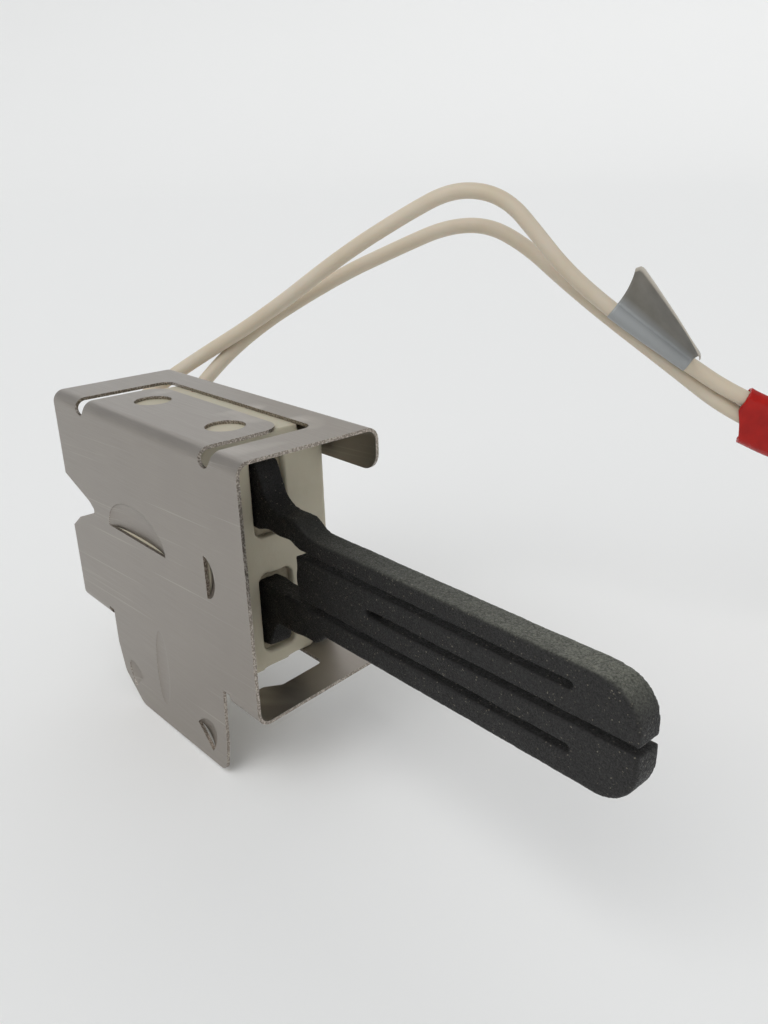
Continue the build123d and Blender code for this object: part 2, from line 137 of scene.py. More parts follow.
def add_node(tree, kind, inputs=None, **settings):
    """One node with its settings, and its inputs filled with values or linked to outputs."""
    made = tree.nodes.new(kind)
    for key, value in settings.items():
        setattr(made, key, value)
    for key, value in (inputs or {}).items():
        if isinstance(value, bpy.types.NodeSocket):
            tree.links.new(value, made.inputs[key])
        else:
            made.inputs[key].default_value = value
    return made


def start_material(name, **sockets):
    """A material named for the real finish: its tree, its Principled shader and object coordinates."""
    material = bpy.data.materials.new(name)
    material.use_nodes = True
    tree = material.node_tree
    shader = tree.nodes["Principled BSDF"]
    for key, value in sockets.items():
        shader.inputs[key.replace("_", " ")].default_value = value
    place = add_node(tree, "ShaderNodeTexCoord").outputs["Object"]
    return material, tree, shader, place


def lead_curve(name, route, thickness):
    """A lead as one open NURBS spline whose control points are the route's points."""
    curve = bpy.data.curves.new(name, "CURVE")
    curve.dimensions = "3D"
    curve.resolution_u = 16
    curve.bevel_depth = thickness / 2
    curve.bevel_resolution = 8
    curve.use_fill_caps = True
    spline = curve.splines.new("NURBS")
    spline.points.add(len(route) - 1)
    for point, place in zip(spline.points, route):
        point.co = (*place, 1.0)
    spline.order_u = 3
    spline.use_endpoint_u = True
    lead = bpy.data.objects.new(name, curve)
    bpy.context.scene.collection.objects.link(lead)
    return lead


# Cream silicone rubber, extruded: soft sheen, faintly translucent, matt where talc clings.
silicone, tree, shader, place = start_material(
    "extruded silicone rubber", IOR=1.41, Subsurface_Weight=0.12, Subsurface_Scale=0.6 * MM)
clouds = add_node(tree, "ShaderNodeTexNoise", {"Vector": place, "Scale": 1 / (7 * MM), "Detail": 3.0})
tone = add_node(tree, "ShaderNodeMix", {"Factor": clouds.outputs["Fac"], "A": linear("C6B79E"),
                                        "B": linear("D2C8B8")}, data_type="RGBA")
tree.links.new(tone.outputs[2], shader.inputs["Base Color"])
talc = add_node(tree, "ShaderNodeTexNoise", {"Vector": place, "Scale": 1 / (0.5 * MM), "Detail": 4.0})
dullness = add_node(tree, "ShaderNodeMapRange", {"Value": talc.outputs["Fac"], "From Min": 0.3,
                                                 "From Max": 0.7, "To Min": 0.38, "To Max": 0.55})
tree.links.new(dullness.outputs[0], shader.inputs["Roughness"])
relief = add_node(tree, "ShaderNodeBump", {"Height": talc.outputs["Fac"], "Distance": 0.01 * MM,
                                           "Strength": 0.6})
tree.links.new(relief.outputs[0], shader.inputs["Normal"])

for side, route in lead_routes.items():
    lead = lead_curve(f"lead_{side}_jacket", route, lead_diameter)
    lead.data.materials.append(silicone)
    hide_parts(f"lead_{side}")
    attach(lead, "root")


# ---- bracket ----
# One piece of 0.45 mm ferritic stainless strip, blanked and folded in a progressive die. Four
# lanced bumps and a shallow dart are pressed inwards. Its sheared edges are painted with shade,
# darker than its skin, and their nicks with bright painted glints.
def worked_copy(node):
    """A CAD node's shape as one joined mesh with its flat faces whole, for edge work."""
    flat_angle = math.radians(0.4)
    form = bmesh.new()
    form.from_mesh(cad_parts[node].data)
    bmesh.ops.remove_doubles(form, verts=form.verts, dist=0.002 * MM)
    bmesh.ops.dissolve_limit(form, angle_limit=flat_angle, verts=form.verts, edges=form.edges,
                             use_dissolve_boundaries=False)
    mesh = bpy.data.meshes.new(node + "_shape")
    form.to_mesh(mesh)
    form.free()
    return mesh


def make_piece(name, mesh, *stack):
    """A new piece from a mesh, with each (modifier kind, settings) of the stack baked in."""
    piece = bpy.data.objects.new(name, mesh)
    bpy.context.scene.collection.objects.link(piece)
    for kind, settings in stack:
        modifier = piece.modifiers.new(kind.lower(), kind)
        for key, value in settings.items():
            setattr(modifier, key, value)
    shaped = piece.evaluated_get(bpy.context.evaluated_depsgraph_get())
    piece.data = bpy.data.meshes.new_from_object(shaped)
    piece.modifiers.clear()
    return piece


def dress(piece, material, node, shading=True):
    """Gives a piece its material, hides the CAD node it stands for, and fixes it to the body."""
    piece.data.materials.clear()
    piece.data.materials.append(material)
    if shading:
        piece.data.shade_smooth()
    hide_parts(node)
    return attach(piece, "root")


sheet = 0.45 * MM
deepest_skin = 1.3 * sheet
just_inside = 0.02 * MM
edge_rounding = 0.07 * MM
blank = worked_copy("bracket")
blank.shade_smooth()
bracket = make_piece("stamped_bracket", blank,
                     ("BEVEL", {"width": edge_rounding, "segments": 2, "limit_method": "ANGLE",
                                "angle_limit": math.radians(38), "harden_normals": True}),
                     ("WEIGHTED_NORMAL", {"weight": 100, "keep_sharp": False}))
# A face is a sheared edge where the steel behind it is much deeper than the sheet.
steel_faces = BVHTree.FromPolygons([vertex.co for vertex in bracket.data.vertices],
                                   [face.vertices for face in bracket.data.polygons])
sheared = bracket.data.attributes.new("sheared", "FLOAT", "FACE")
bracket.data.calc_loop_triangles()
for triangle in sorted(bracket.data.loop_triangles, key=lambda t: t.area):
    behind = triangle.center - triangle.normal * just_inside
    depth = steel_faces.ray_cast(behind, -triangle.normal)[3]
    skin = depth is not None and depth < deepest_skin
    sheared.data[triangle.polygon_index].value = 0.0 if skin else 1.0

# 430 stainless strip in a dull 2D mill finish: a grey, slightly warm metal whose rolling grain
# blurs reflections, with handling marks. Grain about 0.05 mm wide is drawn 0.12 mm wide.
steel, tree, shader, place = start_material("ferritic stainless strip, 2D mill finish", Metallic=1.0)
grain_size = (9 * MM, 0.12 * MM, 0.12 * MM)
stretch = add_node(tree, "ShaderNodeMapping", {"Vector": place, "Scale": [1 / size for size in grain_size]})
grain = add_node(tree, "ShaderNodeTexNoise", {"Vector": stretch.outputs[0], "Scale": 1.0, "Detail": 2.0})
clouds = add_node(tree, "ShaderNodeTexNoise", {"Vector": place, "Scale": 1 / (11 * MM), "Detail": 4.0,
                                               "Roughness": 0.6})
skin_tone = add_node(tree, "ShaderNodeMix", {"Factor": clouds.outputs["Fac"], "A": linear("918B85"),
                                             "B": linear("A59F98")}, data_type="RGBA")
mask = add_node(tree, "ShaderNodeAttribute", attribute_name="sheared").outputs["Fac"]
# Handling scratches: few, long, thin and slightly slanted, a little brighter than the skin.
slant = add_node(tree, "ShaderNodeMapping", {"Vector": place, "Rotation": (0.0, 0.06, 0.0)})
scratch_size = (34 * MM, 9 * MM, 0.35 * MM)
drawn = add_node(tree, "ShaderNodeMapping", {"Vector": slant.outputs[0],
                                             "Scale": [1 / size for size in scratch_size]})
scratch = add_node(tree, "ShaderNodeTexNoise", {"Vector": drawn.outputs[0], "Scale": 1.0, "Detail": 1.0})
scratched = add_node(tree, "ShaderNodeMapRange", {"Value": scratch.outputs["Fac"], "From Min": 0.66,
                                                  "From Max": 0.8, "To Max": 0.3})
marked_tone = add_node(tree, "ShaderNodeMix", {"Factor": scratched.outputs[0], "A": skin_tone.outputs[2],
                                               "B": linear("D6D0C8")}, data_type="RGBA")
# Shearing leaves small torn nicks in the edge, about four to a millimetre. The edge's tone is
# painted shade, darker than the skin, and its nicks are painted glints, brighter than the skin.
tear_height = add_node(tree, "ShaderNodeTexNoise", {"Vector": place, "Scale": 1 / (0.22 * MM), "Detail": 1.0})
nick_glint = add_node(tree, "ShaderNodeMapRange", {"Value": tear_height.outputs["Fac"], "From Min": 0.45,
                                             "From Max": 0.65})
edge_shade_glint_tone = add_node(tree, "ShaderNodeMix", {"Factor": nick_glint.outputs[0], "A": linear("857D75"),
                                             "B": linear("BDB5AB")}, data_type="RGBA")
edge_tone = add_node(tree, "ShaderNodeMix", {"Factor": mask, "A": marked_tone.outputs[2],
                                             "B": edge_shade_glint_tone.outputs[2]}, data_type="RGBA")
tree.links.new(edge_tone.outputs[2], shader.inputs["Base Color"])
marks = add_node(tree, "ShaderNodeMath", {0: grain.outputs["Fac"], 1: clouds.outputs["Fac"]}, operation="ADD")
dullness = add_node(tree, "ShaderNodeMapRange", {"Value": marks.outputs[0], "From Min": 0.7, "From Max": 1.3,
                                                 "To Min": 0.34, "To Max": 0.47})
edge_dullness = add_node(tree, "ShaderNodeMix", {"Factor": mask, "A": dullness.outputs[0], "B": 0.3})
tree.links.new(edge_dullness.outputs[0], shader.inputs["Roughness"])
grain_relief = add_node(tree, "ShaderNodeBump", {"Height": grain.outputs["Fac"], "Distance": 0.0015 * MM,
                                                 "Strength": 1.0})
tear = add_node(tree, "ShaderNodeMath", {0: tear_height.outputs["Fac"], 1: mask}, operation="MULTIPLY")
relief = add_node(tree, "ShaderNodeBump", {"Height": tear.outputs[0], "Distance": 0.08 * MM, "Strength": 1.0,
                                           "Normal": grain_relief.outputs[0]})
tree.links.new(relief.outputs[0], shader.inputs["Normal"])
dress(bracket, steel, "bracket", shading=False)


# ---- ceramic block ----
# Dry-pressed steatite, fired and unglazed: two chambers run through it for the element's legs.
# Its edges are a little chipped, and iron in the clay leaves small brown specks.
def displace(mesh, heights):
    """Moves each vertex along its own normal by its own height."""
    moves = [vertex.normal * height for vertex, height in zip(mesh.vertices, heights)]
    for vertex, move in zip(mesh.vertices, moves):
        vertex.co += move
    mesh.update()


def wear_down(mesh, layers):
    """Pits a surface inwards by layers of noise, each (size, depth) in metres."""
    displace(mesh, [-abs(sum(noise.noise(vertex.co / size) * depth for size, depth in layers))
                    for vertex in mesh.vertices])


block = make_piece("steatite_block", worked_copy("ceramic_holder"),
                   ("REMESH", {"mode": "VOXEL", "voxel_size": 0.36 * MM}),
                   ("SMOOTH", {"factor": 0.5, "iterations": 2}))
wear_down(block.data, [(3.0 * MM, 0.05 * MM), (0.9 * MM, 0.03 * MM)])

steatite, tree, shader, place = start_material(
    "unglazed pressed steatite", Roughness=0.62, IOR=1.58, Subsurface_Weight=0.08,
    Subsurface_Scale=0.5 * MM)
clouds = add_node(tree, "ShaderNodeTexNoise", {"Vector": place, "Scale": 1 / (6 * MM), "Detail": 5.0,
                                               "Roughness": 0.6})
body_tone = add_node(tree, "ShaderNodeMix", {"Factor": clouds.outputs["Fac"], "A": linear("ABA38D"),
                                             "B": linear("C0B9A5")}, data_type="RGBA")
# Two cells in five of a 2.6 mm pattern hold an iron speck about 0.5 mm across.
cells = add_node(tree, "ShaderNodeTexVoronoi", {"Vector": place, "Scale": 1 / (2.6 * MM)})
near = add_node(tree, "ShaderNodeMapRange", {"Value": cells.outputs["Distance"], "From Min": 0.07,
                                             "From Max": 0.13, "To Min": 1.0, "To Max": 0.0})
dice = add_node(tree, "ShaderNodeSeparateColor", {"Color": cells.outputs["Color"]})
chosen = add_node(tree, "ShaderNodeMath", {0: dice.outputs[0], 1: 0.6}, operation="GREATER_THAN")
speck = add_node(tree, "ShaderNodeMath", {0: near.outputs[0], 1: chosen.outputs[0]}, operation="MULTIPLY")
specked = add_node(tree, "ShaderNodeMix", {"Factor": speck.outputs[0], "A": body_tone.outputs[2],
                                           "B": linear("6E5138")}, data_type="RGBA")
tree.links.new(specked.outputs[2], shader.inputs["Base Color"])
grit = add_node(tree, "ShaderNodeTexNoise", {"Vector": place, "Scale": 1 / (0.35 * MM), "Detail": 5.0})
relief = add_node(tree, "ShaderNodeBump", {"Height": grit.outputs["Fac"], "Distance": 0.03 * MM,
                                           "Strength": 0.7})
tree.links.new(relief.outputs[0], shader.inputs["Normal"])
dress(block, steatite, "ceramic_holder")


# ---- element ----
# Recrystallised silicon carbide, slip cast and sawn: one plate whose three slots make the
# current run along it four times. Its sparkle is painted as bright crystals, and the thick cold ends are
# black.
element = make_piece("sic_element", worked_copy("silicon_carbide_element"),
                     ("REMESH", {"mode": "VOXEL", "voxel_size": 0.22 * MM}),
                     ("SMOOTH", {"factor": 0.5, "iterations": 3}))
cold_end_x = 27.0 * MM
cold_fade = 5.0 * MM
upper_slot_top_z = 28.6 * MM
outer_slot_end_x = 63.5 * MM
tip_middle_z = 26.0 * MM
grit_size = 0.42 * MM
grit_height = 0.035 * MM
lump_size = 2.4 * MM
hot_lump_height = 0.05 * MM
cold_extra_height = 0.16 * MM
heights = []
# Painted top light: upward-facing vertices outside the slots get a share that paints them paler.
painted_top_light = element.data.attributes.new("painted_top_light", "FLOAT", "POINT")
for vertex in element.data.vertices:
    x, z = vertex.co.xz
    exposed = z > upper_slot_top_z or (x > outer_slot_end_x and z > tip_middle_z)
    painted_top_light.data[vertex.index].value = max(0.0, vertex.normal.z) ** 2 if exposed else 0.0
    cold = min(1.0, max(0.0, (cold_end_x - x) / cold_fade))
    grains = noise.noise(vertex.co / grit_size) * grit_height
    lumps = noise.noise(vertex.co / lump_size) * (hot_lump_height + cold_extra_height * cold)
    heights.append(grains + lumps)
displace(element.data, heights)

# Pores between the grains trap light, so the skin reflects less than solid silicon carbide does.
carbide, tree, shader, place = start_material("recrystallised silicon carbide", IOR=1.4)
along = add_node(tree, "ShaderNodeSeparateXYZ", {"Vector": place}).outputs["X"]
heat = add_node(tree, "ShaderNodeMapRange", {"Value": along, "From Min": 0.016, "From Max": 0.066})
hot_tone = add_node(tree, "ShaderNodeMix", {"Factor": heat.outputs[0], "A": linear("0C0A08"),
                                            "B": linear("2B2A29")}, data_type="RGBA")
# Upward faces outside the slots are painted paler as painted light from above, more of it towards the hot
# tip.
upward = add_node(tree, "ShaderNodeAttribute", attribute_name="painted_top_light").outputs["Fac"]
top_lit_share = add_node(tree, "ShaderNodeMath", {0: upward, 1: heat.outputs[0]}, operation="MULTIPLY")
top_lit_tone = add_node(tree, "ShaderNodeMix", {"Factor": top_lit_share.outputs[0], "A": hot_tone.outputs[2],
                                            "B": linear("7A7B70")}, data_type="RGBA")
grit = add_node(tree, "ShaderNodeTexNoise", {"Vector": place, "Scale": 1 / (0.24 * MM), "Detail": 3.0,
                                             "Roughness": 0.7})
shade = add_node(tree, "ShaderNodeMapRange", {"Value": grit.outputs["Fac"], "From Min": 0.35,
                                              "From Max": 0.65, "To Min": 0.25, "To Max": 1.0})
mixed = add_node(tree, "ShaderNodeMix", {"Factor": shade.outputs[0], "A": linear("050505"),
                                         "B": top_lit_tone.outputs[2]}, data_type="RGBA")
# Crystals up to 0.12 mm across: one in sixty is painted bright, a painted glint of a flat face turned to the
# light.
crystals = add_node(tree, "ShaderNodeTexVoronoi", {"Vector": place, "Scale": 1 / (0.12 * MM)})
dice = add_node(tree, "ShaderNodeSeparateColor", {"Color": crystals.outputs["Color"]})
bright = add_node(tree, "ShaderNodeMapRange", {"Value": dice.outputs[0], "From Min": 0.983, "From Max": 1.0,
                                               "To Max": 0.5})
glint_painted_tone = add_node(tree, "ShaderNodeMix", {"Factor": bright.outputs[0], "A": mixed.outputs[2],
                                           "B": linear("9C9484")}, data_type="RGBA")
tree.links.new(glint_painted_tone.outputs[2], shader.inputs["Base Color"])
dullness = add_node(tree, "ShaderNodeMapRange", {"Value": dice.outputs[1], "To Min": 0.8, "To Max": 0.4})
tree.links.new(dullness.outputs[0], shader.inputs["Roughness"])
facets = add_node(tree, "ShaderNodeMath", {0: grit.outputs["Fac"], 1: dice.outputs[2]}, operation="ADD")
relief = add_node(tree, "ShaderNodeBump", {"Height": facets.outputs[0], "Distance": 0.09 * MM,
                                           "Strength": 1.0})
tree.links.new(relief.outputs[0], shader.inputs["Normal"])
dress(element, carbide, "silicon_carbide_element")


# ---- cement ----
# Refractory cement, trowelled round the legs at the front and round the leads at the rear.
# It dries to a gritty tan-grey with small pits.
cement, tree, shader, place = start_material("refractory cement", Roughness=0.85)
grit = add_node(tree, "ShaderNodeTexNoise", {"Vector": place, "Scale": 1 / (0.6 * MM), "Detail": 6.0})
tone = add_node(tree, "ShaderNodeMix", {"Factor": grit.outputs["Fac"], "A": linear("6F6655"),
                                        "B": linear("A89E88")}, data_type="RGBA")
tree.links.new(tone.outputs[2], shader.inputs["Base Color"])
relief = add_node(tree, "ShaderNodeBump", {"Height": grit.outputs["Fac"], "Distance": 0.15 * MM})
tree.links.new(relief.outputs[0], shader.inputs["Normal"])
for end in ("front", "rear"):
    for level in ("upper", "lower"):
        node = f"{end}_cement_{level}"
        fill = make_piece(f"{node}_fill", worked_copy(node),
                          ("REMESH", {"mode": "VOXEL", "voxel_size": 0.2 * MM}),
                          ("SMOOTH", {"factor": 0.5, "iterations": 2}))
        wear_down(fill.data, [(1.6 * MM, 0.14 * MM), (0.5 * MM, 0.08 * MM)])
        dress(fill, cement, node)


# ---- joints inside the block ----
# Each leg has a flame-sprayed aluminium pad. A nickel crimp terminal lies on it, and its barrel
# holds the lead's bare nickel-plated strands, twisted together, as the plug's pins do.
pad_metal, tree, shader, place = start_material("flame-sprayed aluminium", Metallic=1.0, Roughness=0.6)
splats = add_node(tree, "ShaderNodeTexVoronoi", {"Vector": place, "Scale": 1 / (0.35 * MM)})
tone = add_node(tree, "ShaderNodeMix", {"Factor": splats.outputs["Distance"], "A": linear("C2C2C0"),
                                        "B": linear("8E8F90")}, data_type="RGBA")
tree.links.new(tone.outputs[2], shader.inputs["Base Color"])
relief = add_node(tree, "ShaderNodeBump", {"Height": splats.outputs["Distance"], "Distance": 0.06 * MM})
tree.links.new(relief.outputs[0], shader.inputs["Normal"])

nickel, tree, shader, place = start_material("rolled nickel strip", Metallic=1.0)
grain_size = (4 * MM, 0.1 * MM, 0.1 * MM)
stretch = add_node(tree, "ShaderNodeMapping", {"Vector": place, "Scale": [1 / size for size in grain_size]})
grain = add_node(tree, "ShaderNodeTexNoise", {"Vector": stretch.outputs[0], "Scale": 1.0})
tone = add_node(tree, "ShaderNodeMix", {"Factor": grain.outputs["Fac"], "A": linear("9E978B"),
                                        "B": linear("C4BEB2")}, data_type="RGBA")
tree.links.new(tone.outputs[2], shader.inputs["Base Color"])
dullness = add_node(tree, "ShaderNodeMapRange", {"Value": grain.outputs["Fac"], "To Min": 0.25,
                                                 "To Max": 0.45})
tree.links.new(dullness.outputs[0], shader.inputs["Roughness"])

for level in ("upper", "lower"):
    pad = make_piece(f"contact_pad_{level}_spray", worked_copy(f"contact_pad_{level}"),
                     ("BEVEL", {"width": 0.05 * MM, "segments": 2}))
    dress(pad, pad_metal, f"contact_pad_{level}", shading=False)
    terminal = make_piece(f"crimp_terminal_{level}_strip", worked_copy(f"crimp_terminal_{level}"),
                          ("BEVEL", {"width": 0.05 * MM, "segments": 2, "limit_method": "ANGLE"}))
    dress(terminal, nickel, f"crimp_terminal_{level}", shading=False)


def strand_tree():
    """Geometry Nodes: a bundle of wires twisted about Z, one centre wire and a ring round it."""
    tree = bpy.data.node_groups.new("strand_bundle", "GeometryNodeTree")
    for name, kind in (("Length", "NodeSocketFloat"), ("Bundle Radius", "NodeSocketFloat"),
                       ("Wires", "NodeSocketInt"), ("Twist", "NodeSocketFloat"),
                       ("Material", "NodeSocketMaterial")):
        tree.interface.new_socket(name, in_out="INPUT", socket_type=kind)
    tree.interface.new_socket("Geometry", in_out="OUTPUT", socket_type="NodeSocketGeometry")
    given = add_node(tree, "NodeGroupInput").outputs
    # Six wires touch round a seventh, so each wire's radius is a third of the bundle's.
    thin = add_node(tree, "ShaderNodeMath", {0: given["Bundle Radius"], 1: 3.0}, operation="DIVIDE")
    reach = add_node(tree, "ShaderNodeMath", {0: thin.outputs[0], 1: 2.0}, operation="MULTIPLY")
    spread = add_node(tree, "GeometryNodeMeshCircle", {"Vertices": given["Wires"],
                                                       "Radius": reach.outputs[0]})
    centre = add_node(tree, "GeometryNodePoints", {"Count": 1})
    ring = add_node(tree, "GeometryNodeMeshToPoints", {"Mesh": spread.outputs[0]})
    places = add_node(tree, "GeometryNodeJoinGeometry")
    tree.links.new(ring.outputs[0], places.inputs[0])
    tree.links.new(centre.outputs[0], places.inputs[0])
    end = add_node(tree, "ShaderNodeCombineXYZ", {"Z": given["Length"]})
    line = add_node(tree, "GeometryNodeCurvePrimitiveLine", {"End": end.outputs[0]})
    fine = add_node(tree, "GeometryNodeResampleCurve", {"Curve": line.outputs[0], "Count": 16})
    wires = add_node(tree, "GeometryNodeInstanceOnPoints", {"Points": places.outputs[0],
                                                            "Instance": fine.outputs[0]})
    loose = add_node(tree, "GeometryNodeRealizeInstances", {"Geometry": wires.outputs[0]})
    where = add_node(tree, "GeometryNodeInputPosition")
    height = add_node(tree, "ShaderNodeSeparateXYZ", {"Vector": where.outputs[0]})
    turn = add_node(tree, "ShaderNodeMath", {0: height.outputs["Z"], 1: given["Twist"]}, operation="MULTIPLY")
    turned = add_node(tree, "ShaderNodeVectorRotate", {"Vector": where.outputs[0], "Angle": turn.outputs[0]},
                      rotation_type="Z_AXIS")
    twisted = add_node(tree, "GeometryNodeSetPosition", {"Geometry": loose.outputs[0],
                                                         "Position": turned.outputs[0]})
    section = add_node(tree, "GeometryNodeCurvePrimitiveCircle", {"Resolution": 10,
                                                                  "Radius": thin.outputs[0]})
    solid = add_node(tree, "GeometryNodeCurveToMesh", {
        "Curve": twisted.outputs[0], "Profile Curve": section.outputs[0], "Fill Caps": True})
    whole = add_node(tree, "GeometryNodeRealizeInstances", {"Geometry": solid.outputs[0]})
    finished = add_node(tree, "GeometryNodeSetMaterial", {"Geometry": whole.outputs[0],
                                                          "Material": given["Material"]})
    add_node(tree, "NodeGroupOutput", {"Geometry": finished.outputs[0]})
    return tree


strands = strand_tree()
socket_ids = {item.name: item.identifier for item in strands.interface.items_tree if item.in_out == "INPUT"}
ring_wires = 6
wire_turn = 2 * math.pi / (9 * MM)
for node in ("bare_strands_upper", "bare_strands_lower", "plug_strands_a", "plug_strands_b"):
    low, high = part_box(node)
    bundle = bpy.data.objects.new(f"{node}_twist", bpy.data.meshes.new(f"{node}_twist"))
    bpy.context.scene.collection.objects.link(bundle)
    maker = bundle.modifiers.new("strands", "NODES")
    maker.node_group = strands
    for name, value in (("Length", high.x - low.x), ("Bundle Radius", (high.z - low.z) / 2),
                        ("Wires", ring_wires), ("Twist", wire_turn), ("Material", nickel)):
        maker[socket_ids[name]] = value
    shaped = bundle.evaluated_get(bpy.context.evaluated_depsgraph_get())
    bundle.data = bpy.data.meshes.new_from_object(shaped)
    bundle.modifiers.clear()
    # The bundle is made along Z from its own start, and lies along X in the part.
    middle = (low + high) / 2
    start = Matrix.Translation((low.x, middle.y, middle.z))
    bundle.data.transform(start @ Matrix.Rotation(math.pi / 2, 4, "Y"))
    dress(bundle, nickel, node)


# ---- flag label ----
# Silver-grey polyester film under a clear matt over-laminate, blank. It is wrapped round one
# lead and stuck to itself, and the free flag has curled over towards its front end.
def centreline(route):
    """Points along a route's NURBS spline, as a curve with no thickness gives them."""
    line = lead_curve("centreline", route, 0)
    points = [v.co.copy() for v in bpy.data.meshes.new_from_object(line).vertices]
    bpy.data.objects.remove(line)
    return points


def walk(points, start_x, length, count):
    """Evenly spaced (point, direction) pairs along a centreline from where it passes start_x."""
    first = next(i for i, point in enumerate(points) if i > len(points) / 2 and point.x > start_x)
    places = []
    gone = 0.0
    i = first
    for step in range(count):
        wanted = length * step / (count - 1)
        while gone + (points[i + 1] - points[i]).length < wanted:
            gone += (points[i + 1] - points[i]).length
            i += 1
        run = points[i + 1] - points[i]
        places.append((points[i] + run.normalized() * (wanted - gone), run.normalized()))
    return places


def lofted(name, rings, closed):
    """A mesh skinned over rings of points, all with the same number of points."""
    around = len(rings[0])
    spans = around if closed else around - 1
    faces = []
    for low in range(0, (len(rings) - 1) * around, around):
        high = low + around
        faces += [(low + j, low + (j + 1) % around, high + (j + 1) % around, high + j) for j in range(spans)]
    mesh = bpy.data.meshes.new(name)
    mesh.from_pydata([point for ring in rings for point in ring], [], faces)
    return mesh


lead_lines = {side: centreline(route) for side, route in lead_routes.items()}
label_start_x = 22.9 * MM
label_length = 14 * MM
label_height = 7 * MM
label_corner = 1.0 * MM
label_skew = 1.3 * MM
label_up = Vector((0.16, 0.64, 0.75))
rear_lean = math.radians(45)
front_lean = math.radians(99)
root_lean = 0.7
film = 0.1 * MM
glue_gap = 0.6 * film
ripple_height = 0.12 * MM
wrap_radius = lead_diameter / 2 + 0.04 * MM
label_stations = 40
flag_steps = 14
wrap_steps = 22
# The strip's section: down one side of the flag, round the lead, and up the flag's other side.
# Each point has how far out or round it is, and its side, which is 0 on the lead.
section = [(1 - k / flag_steps, -1) for k in range(flag_steps + 1)]
section += [(k / wrap_steps, 0) for k in range(1, wrap_steps)]
section += [(k / flag_steps, 1) for k in range(flag_steps + 1)]
rings = []
for place, direction in walk(lead_lines["a"], label_start_x, label_length, label_stations):
    share = len(rings) / (label_stations - 1)
    up = (label_up - direction * label_up.dot(direction)).normalized()
    out = direction.cross(up)
    curl = rear_lean + (front_lean - rear_lean) * share
    from_end = min(share, 1 - share) * label_length
    missing = max(0.0, label_corner - from_end)
    height = label_height - label_corner + math.sqrt(label_corner ** 2 - missing ** 2)
    ring = []
    for reach, layer in section:
        if layer:
            lean = curl * (root_lean + (1 - root_lean) * reach)
            flag = up * math.cos(lean) + out * math.sin(lean)
            face = flag.cross(direction)
            ripple = ripple_height * math.sin(5 * share + 3 * reach) * reach
            ring.append(place + flag * (wrap_radius + height * reach)
                        + face * (ripple - layer * glue_gap)
                        - direction * label_skew * (1 - share) * reach ** 2)
        else:
            angle = 2 * math.pi * reach
            base = up * math.cos(curl * root_lean) + out * math.sin(curl * root_lean)
            side_way = base.cross(direction)
            ring.append(place + (base * math.cos(angle) + side_way * math.sin(angle)) * wrap_radius)
    rings.append(ring)
across = [reach * abs(layer) for reach, layer in section]
film_mesh = lofted("label_film", rings, closed=False)
label_map = film_mesh.uv_layers.new(name="label")
for face in film_mesh.polygons:
    for corner in face.loop_indices:
        station, step = divmod(film_mesh.loops[corner].vertex_index, len(across))
        label_map.data[corner].uv = (station / (label_stations - 1), across[step])
label = make_piece("flag_label_film", film_mesh, ("SOLIDIFY", {"thickness": film, "offset": 0.0}))

polyester, tree, shader, place = start_material("silver-grey polyester film, matt laminate", Roughness=0.38,
                                                IOR=1.57)
flat_place = add_node(tree, "ShaderNodeUVMap", uv_map="label")
spot = add_node(tree, "ShaderNodeSeparateXYZ", {"Vector": flat_place.outputs[0]})
scuff = add_node(tree, "ShaderNodeTexNoise", {"Vector": place, "Scale": 1 / (2.2 * MM), "Detail": 4.0})
tone = add_node(tree, "ShaderNodeMix", {"Factor": scuff.outputs["Fac"], "A": linear("67645D"),
                                        "B": linear("85827B")}, data_type="RGBA")
# Painted highlight: the film round the lead and the root of the flag are painted a lighter blue-grey.
wrapped = add_node(tree, "ShaderNodeMapRange", {"Value": spot.outputs["Y"], "From Min": 0.0, "From Max": 0.25,
                                                "To Min": 1.0, "To Max": 0.0})
wrap_highlight_tone = add_node(tree, "ShaderNodeMix", {"Factor": wrapped.outputs[0], "A": tone.outputs[2],
                                        "B": linear("989B9C")}, data_type="RGBA")
rim = add_node(tree, "ShaderNodeMapRange", {"Value": spot.outputs["Y"], "From Min": 0.88, "From Max": 0.93})
rimmed = add_node(tree, "ShaderNodeMix", {"Factor": rim.outputs[0], "A": wrap_highlight_tone.outputs[2],
                                          "B": linear("BDB6AA")}, data_type="RGBA")
tree.links.new(rimmed.outputs[2], shader.inputs["Base Color"])
relief = add_node(tree, "ShaderNodeBump", {"Height": scuff.outputs["Fac"], "Distance": 0.03 * MM})
tree.links.new(relief.outputs[0], shader.inputs["Normal"])
dress(label, polyester, "flag_label")


